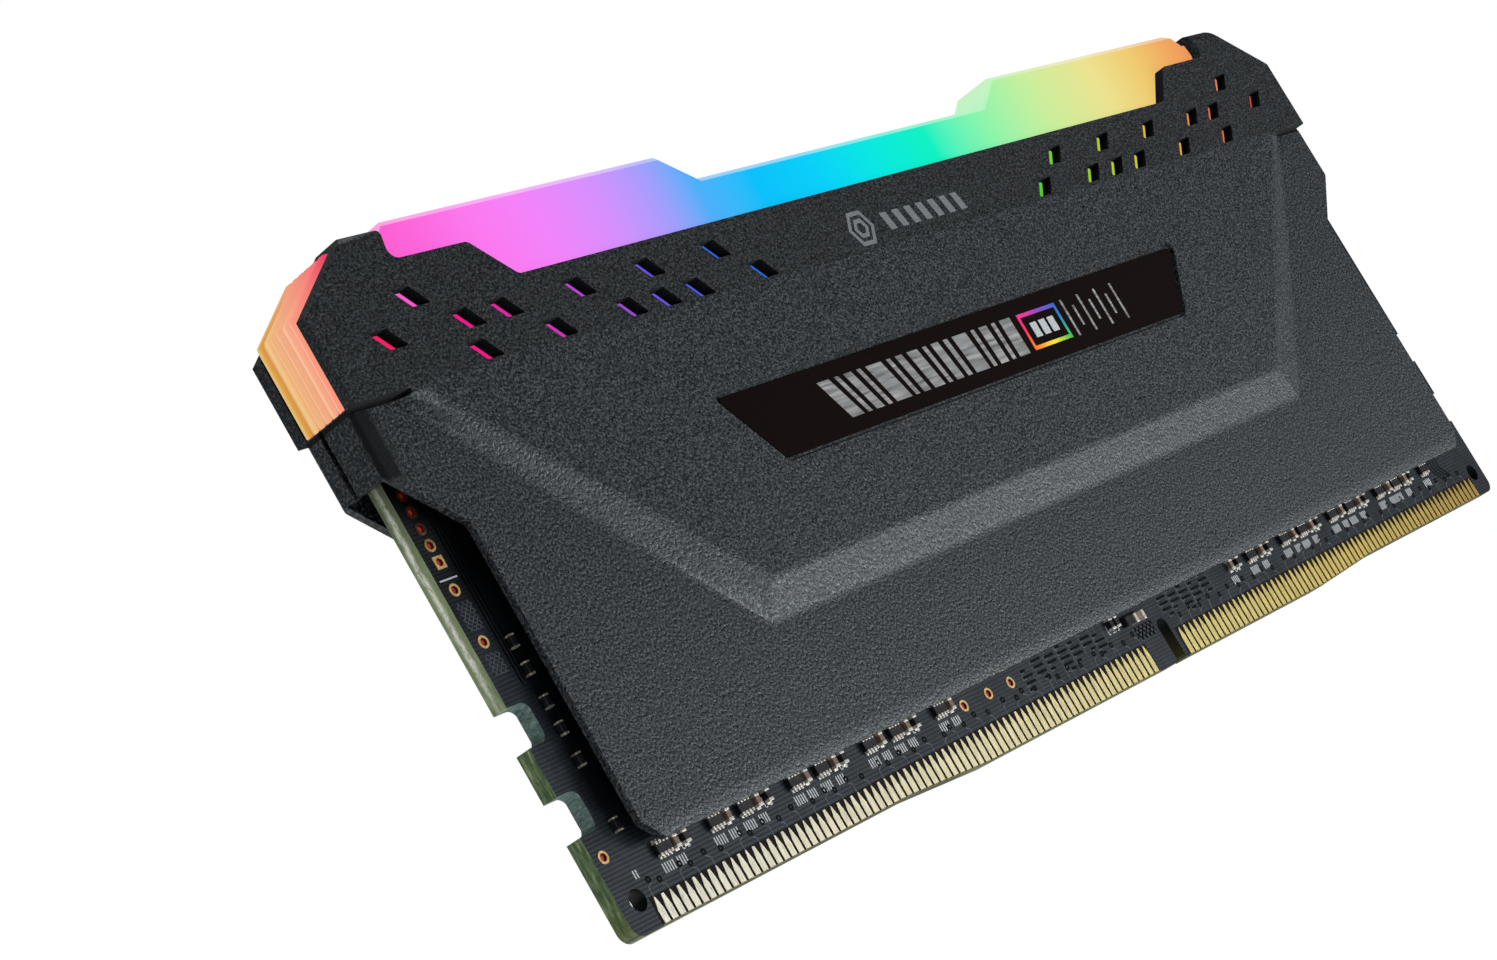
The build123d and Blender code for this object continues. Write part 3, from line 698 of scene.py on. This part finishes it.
CONTACT_TO_EDGE = 0.12          # from the contacts' feet down to the card's edge
WINDOW_TOP = 2.55
WINDOW_OVERLAP = 0.2            # past the first and last contact of a group
WINDOW_FOOT, WINDOW_FILM = 0.1, 0.012       # over the card's edge, and over the board's face
STRIP_FOOT, STRIP_FILM = 0.02, 0.014
CONTACT_TRACK = (0.07, 0.015)
CONTACT_VIA = (0.25, 0.1)       # outer and inner radius
CONTACT_VIA_HEIGHT = 0.022
TRACK_LEAN = 0.35
front_contacts = solids_of("contacts_front")
gaps = [after[0].x - before[1].x for before, after in zip(front_contacts, front_contacts[1:])]
last_before_key = gaps.index(max(gaps))
contact_groups = (front_contacts[:last_before_key + 1], front_contacts[last_before_key + 1:])


def along_edge(group, rise):
    """Points along the card's edge under a group of contacts, this far above it."""
    start, end = group[0], group[-1]
    points = [(start[0].x - WINDOW_OVERLAP, start[0].z - CONTACT_TO_EDGE + rise)]
    points += [((low.x + high.x) / 2, low.z - CONTACT_TO_EDGE + rise) for low, high in group]
    points.append((end[1].x + WINDOW_OVERLAP, end[0].z - CONTACT_TO_EDGE + rise))
    return points


for side_name, foot, toward in (("front", BOARD_FRONT, -1), ("back", BOARD_BACK, 1)):
    window, bevel_strip = Shapes(), Shapes()
    for group in contact_groups:
        low_line = along_edge(group, WINDOW_FOOT)
        top_line = [(low_line[-1][0], WINDOW_TOP), (low_line[0][0], WINDOW_TOP)]
        window.slab(low_line + top_line, foot, WINDOW_FILM, toward)
        bevel_strip.slab(along_edge(group, STRIP_FOOT) + low_line[::-1], foot, STRIP_FILM, toward)
    window.piece(f"contact_window_{side_name}", bare, "pcb_mask")
    bevel_strip.piece(f"card_edge_strip_{side_name}", cut, "pcb_mask")

random.seed(7)
for side_name, foot, toward in (("front", BOARD_FRONT, -1), ("back", BOARD_BACK, 1)):
    tracks, vias = Shapes(), Shapes()
    for number, (low, high) in enumerate(front_contacts):
        if number % 2:
            continue
        x = (low.x + high.x) / 2
        lean = random.choice((-TRACK_LEAN, TRACK_LEAN))
        tall = 3.1 + 0.3 * (number % 4 == 0)
        tracks.ribbon([(x, WINDOW_TOP - 0.1), (x, tall - 0.25), (x + lean, tall - 0.1),
                       (x + lean, tall + 0.05)], CONTACT_TRACK, foot, toward)
        vias.tube((x + lean, tall + 0.24), *CONTACT_VIA, foot, CONTACT_VIA_HEIGHT, 16, toward)
    tracks.piece(f"contact_tracks_{side_name}", pale_trace_and_highlight, "pcb_mask")
    vias.piece(f"small_vias_{side_name}", dark_track_and_shadow, "pcb_mask")

# ---- winding tracks, hatching and long tracks on the board's front -----------------------

MEANDERS = (52.3, 54.2, 56.1, 57.9, 59.7, 61.5, 63.2, 73.9, 75.6, 77.3, 79.1, 80.8)       # from left
MEANDER_REACH, MEANDER_RISE = 1.3, 0.52
# the dark track is a painted shadow; the corner and side rims and the edge line are painted highlights
DARK_TRACK, CORNER_RIM, SIDE_RIM, EDGE_LINE = (0.21, 0.016), (0.06, 0.018), (0.05, 0.014), (0.05, 0.016)
LONG_TRACK = (0.12, 0.02)
HATCH_HEIGHT, SHORTEST_HATCH = 0.018, 0.15
# straight tracks up the board's ends: from left, lowest and highest Z
END_TRACKS = ((2.45, 18.6, 34.5), (2.8, 18.9, 34.5), (3.15, 19.2, 34.5),
              (131.0, 18.6, 34.5), (130.6, 18.9, 34.5), (130.2, 19.2, 34.5))


def meander(dark, pale, x, z, turns, flip):
    """A track that winds up the board between two columns: a dark painted shadow along its runs across, and
    pale painted highlights at its corners and along its runs up.
    """
    side = -1 if flip else 1
    path = [(x, z)]
    for turn in range(turns):
        out = x + side * MEANDER_REACH * (1 if turn % 2 == 0 else -1) / 2
        path += [(out, path[-1][1]), (out, path[-1][1] + MEANDER_RISE)]
    path.append((x, path[-1][1]))
    path.append((x, path[-1][1] + 0.9))
    for (start_x, start_z), (end_x, end_z) in zip(path, path[1:]):
        if start_z == end_z:
            dark.ribbon([(start_x, start_z), (end_x, end_z)], DARK_TRACK, BOARD_FRONT)
            left_x = min(start_x, end_x)
            pale.ribbon([(left_x - 0.16, start_z + 0.1), (left_x - 0.16, start_z - 0.17),
                         (left_x + 0.3, start_z - 0.17)], CORNER_RIM, BOARD_FRONT)
        else:
            pale.ribbon([(start_x - 0.02, start_z + 0.12), (end_x - 0.02, end_z - 0.12)],
                        SIDE_RIM, BOARD_FRONT)


winding, winding_highlights = Shapes(), Shapes()
for number, distance in enumerate(MEANDERS):
    foot_z = 3.35 + 0.35 * (number % 3)
    meander(winding, winding_highlights, from_left(distance), foot_z, 3 + number % 2, number % 2 == 0)
    # a pale painted highlight line beside each winding track
    winding_highlights.ribbon([(from_left(distance + 0.9), 2.8), (from_left(distance + 0.9), 5.9)],
                        EDGE_LINE, BOARD_FRONT)
winding.piece("winding_track_shadows", dark_track_and_shadow, "pcb_mask")
winding_highlights.piece("winding_track_highlights", pale_trace_and_highlight, "pcb_mask")


def hatch(shapes, low, high, pitch, width):
    """Crossed diagonal lines clipped to a rectangle from (x, z) low to high."""
    wide, tall = high[0] - low[0], high[1] - low[1]
    for side, way in ((low[0], 1), (high[0], -1)):
        step = pitch
        while step < wide + tall:
            start = (side + way * max(0.0, step - tall), low[1] + min(step, tall))
            end = (side + way * min(step, wide), low[1] + max(0.0, step - wide))
            if math.dist(start, end) > SHORTEST_HATCH:
                shapes.ribbon([start, end], (width, HATCH_HEIGHT), BOARD_FRONT)
            step += pitch


hatching, key_hatch_shadows = Shapes(), Shapes()
# by the key, a dark painted shadow of the pale hatch, a little up and to the right of it
hatch(key_hatch_shadows, (from_left(68.1), 2.85), (from_left(70.9), 4.0), 0.6, 0.14)
hatch(hatching, (from_left(68.0), 2.79), (from_left(70.8), 3.94), 0.6, 0.08)
hatch(hatching, (from_left(0.5), 19.8), (from_left(2.0), 21.4), 0.46, 0.06)
hatch(hatching, (from_left(0.5), 23.1), (from_left(2.0), 25.2), 0.46, 0.06)
hatching.piece("hatched_copper", pale_trace_and_highlight, "pcb_mask")
key_hatch_shadows.piece("hatched_copper_shadows", dark_track_and_shadow, "pcb_mask")

long_tracks = Shapes()
for distance, low_z, high_z in END_TRACKS:
    x = from_left(distance)
    long_tracks.ribbon([(x, low_z), (x, high_z)], LONG_TRACK, BOARD_FRONT)
for offset in (0.0, 0.55, 1.1, 1.65):
    long_tracks.ribbon([(from_left(124.7 + offset), 5.9), (from_left(124.7 + offset), 4.6),
                        (from_left(125.9 + offset), 3.4)], LONG_TRACK, BOARD_FRONT)
long_tracks.piece("long_tracks", dark_track_and_shadow, "pcb_mask")

# ---- holes: copper lining, back rings and a painted glow of light seen through them ------

BOARD_THICK = BOARD_BACK - BOARD_FRONT
LINING = (0.3, 0.25)            # outer and inner radius
BACK_RING_BORE, BACK_RING_HEIGHT = 0.26, 0.035
GLOW_FOOT = BOARD_BACK - 0.1
linings, back_rings, plugs = Shapes(), Shapes(), Shapes()
for low, high in solids_of("copper_rings"):
    middle = ((low.x + high.x) / 2, (low.z + high.z) / 2)
    outer = (high.x - low.x) / 2
    linings.tube(middle, *LINING, BOARD_BACK, BOARD_THICK + 0.02, 24)
    back_rings.tube(middle, outer, BACK_RING_BORE, BOARD_BACK, BACK_RING_HEIGHT, 28, 1)
    # painted light: two discs that glow orange-red in each hole
    plugs.disc((middle[0] - 0.02, middle[1]), 0.2, GLOW_FOOT, BOARD_THICK - 0.2, 20)
    plugs.disc(middle, 0.262, GLOW_FOOT, BOARD_THICK - 0.45, 20)
linings.piece("hole_linings", barrel, "ring_copper")
back_rings.piece("back_rings", finish["ring_copper"], "ring_copper")
plugs.piece("hole_glow_discs", hole_glow, "ring_copper")

# ---- soldered parts ----------------------------------------------------------------------

BODY_INSET = 0.06               # how much lower a part's body is than its ends
END_WRAP = 0.04                 # how far a body runs in under both its ends together
FILLET_RISE, FILLET_LENGTH = 0.12, 0.16
WIDE_PART = 1.0                 # the two parts at the key are wider than this
KEY_REACH = 3.5                 # the small parts nearer to them than this belong with them
CLOSE_PAIR = 1.0                # the widest gap within a close pair

def chip_part(body, ends, low, high, end_length, fillets=True):
    """A small two-ended part: a body between two tinned ends, with solder fillets at their feet."""
    middle, size = (low + high) / 2, high - low
    lengthways = 2 if size.z > size.x else 0

    def box(along, depth, across):
        """A size with its first length from end to end of the part."""
        return (across, depth, along) if lengthways == 2 else (along, depth, across)

    length, breadth = size[lengthways], size[2 - lengthways]
    body.block(middle - Vector((0, 0.01, 0)),
               box(length - 2 * end_length + END_WRAP, size.y - BODY_INSET, breadth * 0.94))
    for side in (-1, 1):
        ends.block(middle + Vector(box(side * (length - end_length) / 2, 0, 0)),
                   box(end_length, size.y, breadth))
        if fillets:
            foot = Vector((middle.x, high.y - FILLET_RISE / 2, middle.z))
            ends.block(foot + Vector(box(side * (length / 2 + 0.07), 0, 0)),
                       box(FILLET_LENGTH, FILLET_RISE, breadth * 0.9))


array_bodies, array_ends = Shapes(), Shapes()
for low, high in solids_of("resistor_arrays"):
    middle, size = (low + high) / 2, high - low
    array_bodies.block((middle.x, middle.y - 0.01, middle.z), (size.x, size.y - BODY_INSET, size.z - 0.34))
    for column in range(4):
        x = middle.x + (column - 1.5) * size.x * 0.25
        for side in (-1, 1):
            array_ends.block((x, middle.y, middle.z + side * (size.z / 2 - 0.12)), (0.21, size.y, 0.24))
            array_ends.block((x, high.y - 0.07, middle.z + side * (size.z / 2 + 0.06)), (0.19, 0.14, 0.16))
array_bodies.piece("resistor_array_bodies", finish["resistor_body"], "resistor_body", 0.02,
                   ["resistor_arrays"])
array_ends.piece("resistor_array_ends", tin, "resistor_body", 0.03)

cap_bodies, resistor_bodies, part_ends, shaded_ends = Shapes(), Shapes(), Shapes(), Shapes()
row_parts = solids_of("bypass_parts")
key_parts = [part for part in row_parts if part[1].x - part[0].x > WIDE_PART]      # resistor, capacitor
row_parts = [part for part in row_parts if part not in key_parts]


def is_by_key(part):
    """Whether a part of the row stands beside the larger two at the key."""
    return abs(part[0].x - key_parts[0][0].x) < KEY_REACH


def is_resistor(number):
    """Whether a part of the row is a resistor: the right one of each close pair, and those by the key."""
    part = row_parts[number]
    return is_by_key(part) or (number > 0 and part[0].x - row_parts[number - 1][1].x < CLOSE_PAIR)


for number, part in enumerate(row_parts):
    chip_part(resistor_bodies if is_resistor(number) else cap_bodies, part_ends, *part,
              0.2 if is_by_key(part) else 0.24, not is_by_key(part))
# the resistor at the key is black all over, its ends too: painted shade where it sits
chip_part(resistor_bodies, resistor_bodies, *key_parts[0], 0.2, False)
chip_part(cap_bodies, part_ends, *key_parts[1], 0.34)
# the parts by the board's ends get ends of the darker, shaded tin: painted shade
for low, high in solids_of("edge_parts"):
    chip_part(resistor_bodies, shaded_ends, low, high, 0.14, False)
cap_bodies.piece("capacitor_bodies", finish["capacitor_body"], "capacitor_body", 0.025, ["bypass_parts"])
resistor_bodies.piece("resistor_bodies", finish["resistor_body"], "resistor_body", 0.02, ["edge_parts"])
part_ends.piece("part_ends", tin, "capacitor_body", 0.03)
shaded_ends.piece("shaded_part_ends", shaded_tin, "resistor_body", 0.03)

# ---- white print: plain ticks and corner marks, no letters -------------------------------

PRINT = 0.014                   # height of the print over the mask
TICK_WIDTH, TICK_PITCH = 0.12, 0.27
ROW_TICKS_Z = 3.8               # under the row of parts
CORNER_LINE, CORNER_CLEARANCE = 0.08, 0.14
marks = Shapes()


def mark(x, z, wide, tall):
    """A printed rectangle about this (x, z)."""
    marks.block((x, BOARD_FRONT - PRINT / 2, z), (wide, PRINT, tall))


def ticks(x, z, count, tall=0.7):
    """A short row of equal upright strokes."""
    for i in range(count):
        mark(x + i * TICK_PITCH, z, TICK_WIDTH, tall)


for low, high in solids_of("resistor_arrays"):
    ticks(low.x + 0.05, ROW_TICKS_Z, 5)
for number, (low, high) in enumerate(row_parts):
    if not is_resistor(number):
        ticks(low.x - 0.1, ROW_TICKS_Z, 4)
        continue
    for side, edge in ((-1, low.x - CORNER_CLEARANCE), (1, high.x + CORNER_CLEARANCE)):
        mark(edge, 4.75, CORNER_LINE, 0.75)
        mark(edge - side * 0.12, 4.39, 0.24, CORNER_LINE)
ticks(from_left(2.75), 4.3, 2, 0.6)
mark(from_left(1.2), 26.95, 1.75, 0.12)
marks.piece("white_marks", white_ink, "pcb_mask")

# ---- plate print: slanted bars, a small bright frame and thin strokes --------------------

INK = 0.02                      # height of the print over the plate
BAND_FOOT, BAND_TOP = 27.4, 30.8
BAND_ENDS = (from_left(45.5), from_left(72.35))
BAND_LEAN = 0.55                # sideways for each millimetre up, at the band's left end
BAR_GAP = 0.62
BAR_WIDTHS = (1.5, 0.5, 1.0, 0.5, 2.0, 0.5, 0.9, 1.4, 0.5, 1.0, 0.6, 1.9, 0.5, 1.1, 0.5, 1.5)
STROKE_COUNT, STROKE_WIDTH, STROKE_PITCH, STROKE_SHORTER = 7, 0.3, 1.36, 0.75
STROKES_FROM = from_left(80.2)
FRAME_HALF_WIDTH, FRAME_HALF_HEIGHT, FRAME_LINE = 3.0, 1.65, 0.34
FRAME_BLOCK, FRAME_BLOCK_PITCH = (0.95, INK, 1.35), 1.35


def slanted(shapes, x, width, low_z, high_z, foot, toward, mirror):
    """A bar on a plate whose top leans left, less and less towards the right end of the band."""
    middle = (BAND_FOOT + BAND_TOP) / 2
    lean = BAND_LEAN * max(0.0, BAND_ENDS[1] - x) / (BAND_ENDS[1] - BAND_ENDS[0])
    corners = [(x - (low_z - middle) * lean, low_z), (x + width - (low_z - middle) * lean, low_z),
               (x + width - (high_z - middle) * lean, high_z), (x - (high_z - middle) * lean, high_z)]
    shapes.slab([(mirror * corner_x, z) for corner_x, z in corners], foot, INK, toward)


def bar_print(name, foot, toward, mirror):
    """A heavy band of slanted silver bars, then a row of thin strokes."""
    shapes = Shapes()
    scale = (BAND_ENDS[1] - BAND_ENDS[0] + BAR_GAP) / (sum(BAR_WIDTHS) + BAR_GAP * len(BAR_WIDTHS))
    x = BAND_ENDS[0]
    for width in BAR_WIDTHS:
        slanted(shapes, x, width * scale, BAND_FOOT, BAND_TOP, foot, toward, mirror)
        x += (width + BAR_GAP) * scale
    for i in range(STROKE_COUNT):
        begin = STROKES_FROM + i * STROKE_PITCH
        shorter = STROKE_SHORTER if i % 2 else 0.0
        slanted(shapes, begin, STROKE_WIDTH, BAND_FOOT + shorter, BAND_TOP - shorter, foot, toward, mirror)
    shapes.piece(name, silver, "plate_ink")


bar_print("plate_bars_front", PLATE_FRONT, -1, 1)
bar_print("plate_bars_back", PLATE_BACK, 1, -1)

bright_frame, frame_dots = Shapes(), Shapes()
ink_middle = PLATE_FRONT - INK / 2
for side in (-1, 1):
    line_z = FRAME_MID[1] + side * (FRAME_HALF_HEIGHT - FRAME_LINE / 2)
    bright_frame.block((FRAME_MID[0], ink_middle, line_z), (2 * FRAME_HALF_WIDTH, INK, FRAME_LINE))
    line_x = FRAME_MID[0] + side * (FRAME_HALF_WIDTH - FRAME_LINE / 2)
    bright_frame.block((line_x, ink_middle, FRAME_MID[1]),
                       (FRAME_LINE, INK, 2 * (FRAME_HALF_HEIGHT - FRAME_LINE)))
bright_frame.piece("plate_bright_frame", spectrum, "plate_ink")
for i in (-1, 0, 1):
    frame_dots.block((FRAME_MID[0] + i * FRAME_BLOCK_PITCH, ink_middle, FRAME_MID[1]), FRAME_BLOCK)
frame_dots.piece("plate_frame_dots", white_ink, "plate_ink")

# ---- plain printed sign on the shell's upper wall ----------------------------------------

SIGN_LEFT, SIGN_MID_Z, SIGN_PRINT = from_left(58.2), 41.45, 0.012


def hexagon(radius):
    """Corners of a hexagon about the middle of the sign's outline."""
    turns = [math.radians(60 * i) for i in range(6)]
    return [(SIGN_LEFT + 1.9 + radius * math.cos(turn), SIGN_MID_Z + radius * math.sin(turn))
            for turn in turns]


sign = Shapes()
for ring in (1.75, 0.95):
    corners, inner = hexagon(ring), hexagon(ring - 0.42)
    for i in range(6):
        j = (i + 1) % 6
        sign.slab([corners[i], corners[j], inner[j], inner[i]], SHELL_FRONT, SIGN_PRINT)
for i in range(7):
    x = SIGN_LEFT + 5.2 + i * 1.75
    sign.slab([(x + 0.35, SIGN_MID_Z - 0.8), (x + 1.25, SIGN_MID_Z - 0.8),
               (x + 0.8, SIGN_MID_Z + 0.8), (x - 0.1, SIGN_MID_Z + 0.8)], SHELL_FRONT, SIGN_PRINT)
sign.piece("shell_sign", grey_ink, "shell_coat")

# ---- light and view ----------------------------------------------------------------------

FLOOR_Z = -110.0        # below the camera's line of sight, in millimetres
FLOOR_HALF = 4.0        # half the floor's side, in metres
OFF_CAMERA_FLOOR, OFF_CAMERA_SURROUND = 0.4, 0.1        # strengths where the camera doesn't look
LIGHTS_AIM = (0, 0, 26)
LIGHTS = (  # name, place and size in millimetres, power in watts
    ("front_low", (226, -216, -82), (150, 50), 0.34),
    ("front_under", (85, -225, -98), (200, 50), 0.27),
    ("left_fill", (-330, 40, 20), (200, 200), 0.13),
    ("top", (0, -40, 420), (500, 300), 0.8),
)

CAMERA_PLACE = Vector((-232.607, -153.668, -7.250))
CAMERA_RIGHT = Vector((0.57737556, -0.64743261, -0.49746203))
CAMERA_DOWN = Vector((-0.2141447, 0.46786801, -0.85746229))
CAMERA_AHEAD = Vector((0.78789562, 0.60160663, 0.13149129))
CAMERA_LENS, CAMERA_SENSOR = 84.236, 36.0


def area_light(name, place, size, power):
    """A soft rectangular white light aimed at the module's middle."""
    lamp = bpy.data.lights.new(name, "AREA")
    lamp.shape = "RECTANGLE"
    lamp.size, lamp.size_y = size[0] * MM, size[1] * MM
    lamp.energy = power
    made = bpy.data.objects.new(name, lamp)
    bpy.context.scene.collection.objects.link(made)
    made.location = Vector(place) * MM
    made.rotation_mode = "QUATERNION"
    made.rotation_quaternion = (Vector(LIGHTS_AIM) - Vector(place)).to_track_quat("-Z", "Y")


def surround():
    """A white surround, full strength to the camera and faint to everything else."""
    world = bpy.data.worlds.new("surround")
    bpy.context.scene.world = world
    world.use_nodes = True
    nodes, links = world.node_tree.nodes, world.node_tree.links
    background = nodes["Background"]
    background.inputs["Color"].default_value = (1, 1, 1, 1)
    level = nodes.new("ShaderNodeMapRange")
    level.inputs["To Min"].default_value = OFF_CAMERA_SURROUND
    level.inputs["To Max"].default_value = 1.0
    links.new(nodes.new("ShaderNodeLightPath").outputs["Is Camera Ray"], level.inputs["Value"])
    links.new(level.outputs[0], background.inputs["Strength"])


def pale_floor():
    """A plain pale floor, well below the module."""
    mesh = bpy.data.meshes.new("floor")
    corners = [(a * FLOOR_HALF, b * FLOOR_HALF, FLOOR_Z * MM)
               for a, b in ((-1, -1), (1, -1), (1, 1), (-1, 1))]
    mesh.from_pydata(corners, [], [(0, 1, 2, 3)])
    floor = bpy.data.objects.new("floor", mesh)
    bpy.context.scene.collection.objects.link(floor)
    g = Graph("floor_paint", Roughness=0.7)
    g.to_shader("Base Color", g.ramp(g.noise(80.0), [(0.3, (0.80, 0.80, 0.80, 1)),
                                                     (0.7, (0.84, 0.84, 0.84, 1))]))
    g.to_shader("Emission Color", (1, 1, 1, 1))
    on_camera = g.tree.nodes.new("ShaderNodeLightPath").outputs["Is Camera Ray"]
    g.to_shader("Emission Strength", g.span(on_camera, 0.0, 1.0, OFF_CAMERA_FLOOR, 1.0))
    mesh.materials.append(g.material)


def view_camera():
    """The camera below and to the left of the module, rolled and looking up along its front."""
    data = bpy.data.cameras.new("photo_camera")
    camera = bpy.data.objects.new("photo_camera", data)
    bpy.context.scene.collection.objects.link(camera)
    data.sensor_width = CAMERA_SENSOR
    data.lens = CAMERA_LENS
    data.clip_start, data.clip_end = 0.01, 20.0
    turn = Matrix((CAMERA_RIGHT, -CAMERA_DOWN, -CAMERA_AHEAD)).transposed()
    camera.matrix_world = Matrix.Translation(CAMERA_PLACE * MM) @ turn.to_4x4()
    bpy.context.scene.camera = camera


bpy.context.scene.view_settings.view_transform = "Standard"
view_camera()
surround()
pale_floor()
for light in LIGHTS:
    area_light(*light)
